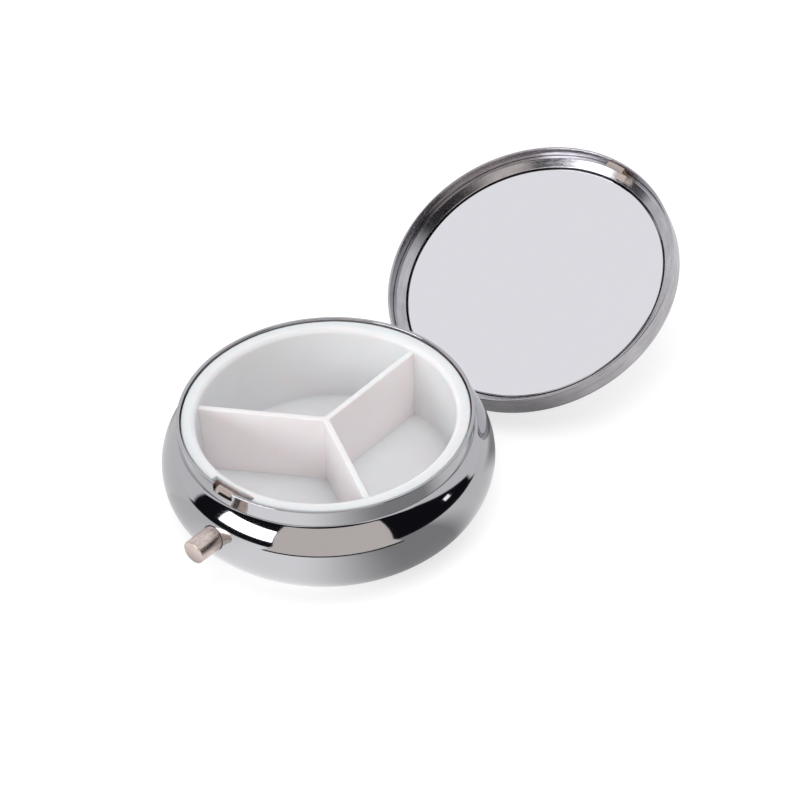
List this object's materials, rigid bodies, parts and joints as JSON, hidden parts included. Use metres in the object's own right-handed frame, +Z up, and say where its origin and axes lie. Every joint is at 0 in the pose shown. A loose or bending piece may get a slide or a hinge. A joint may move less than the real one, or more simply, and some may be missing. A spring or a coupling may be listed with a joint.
{
  "type": "travel pill organizer",
  "caption": "Round chrome-plated pocket pill box: bulged base with a divided white tray, push-button latch and a rear-hinged lid with a mirror inside.",
  "frame": {"origin": "centre of the flat underside of the base, on the table", "axes": "+Z up, +Y towards the lid hinge, -Y towards the push button, +X along the hinge pin"},
  "size_m": [0.0502, 0.0979, 0.0229],
  "materials": {
    "chrome_plate": "mirror-bright chrome plate",
    "satin_steel": "satin plated sheet steel",
    "bare_steel": "bright drawn steel",
    "warm_nickel": "satin nickel plate with a warm tone",
    "white_plastic": "moulded, semi-gloss",
    "mirror_glass": "silvered glass",
    "white_foam": "adhesive foam pad"
  },
  "bodies": {
    "base": {"base_shell": "chrome_plate", "pill_tray": "white_plastic", "base_hinge_leaf": "satin_steel", "hinge_pin": "satin_steel", "latch_guide": "satin_steel", "guide_rivet_left": "bare_steel", "guide_rivet_right": "bare_steel"},
    "button": {"push_button": "warm_nickel", "latch_strip": "warm_nickel", "stem_retainer": "satin_steel", "button_spring": "bare_steel"},
    "lid": {"lid_shell": "satin_steel", "mirror_ring": "satin_steel", "mirror": "mirror_glass", "mirror_pad": "white_foam", "lid_hinge_leaf": "satin_steel", "lid_catch": "warm_nickel"}
  },
  "joints": [
    {"name": "lid_hinge", "type": "hinge", "parent": "base", "child": "lid", "pos_m": [0, 0.023, 0.00962], "axis": [1, 0, 0], "range_deg": [0, 157.2]},
    {"name": "button_slide", "type": "slide", "parent": "base", "child": "button", "axis": [0, 1, 0], "range_m": [0, 0.0008], "stiffness_N_per_m": 400, "springref_m": -0.001, "deforming": ["button_spring"]}
  ]
}
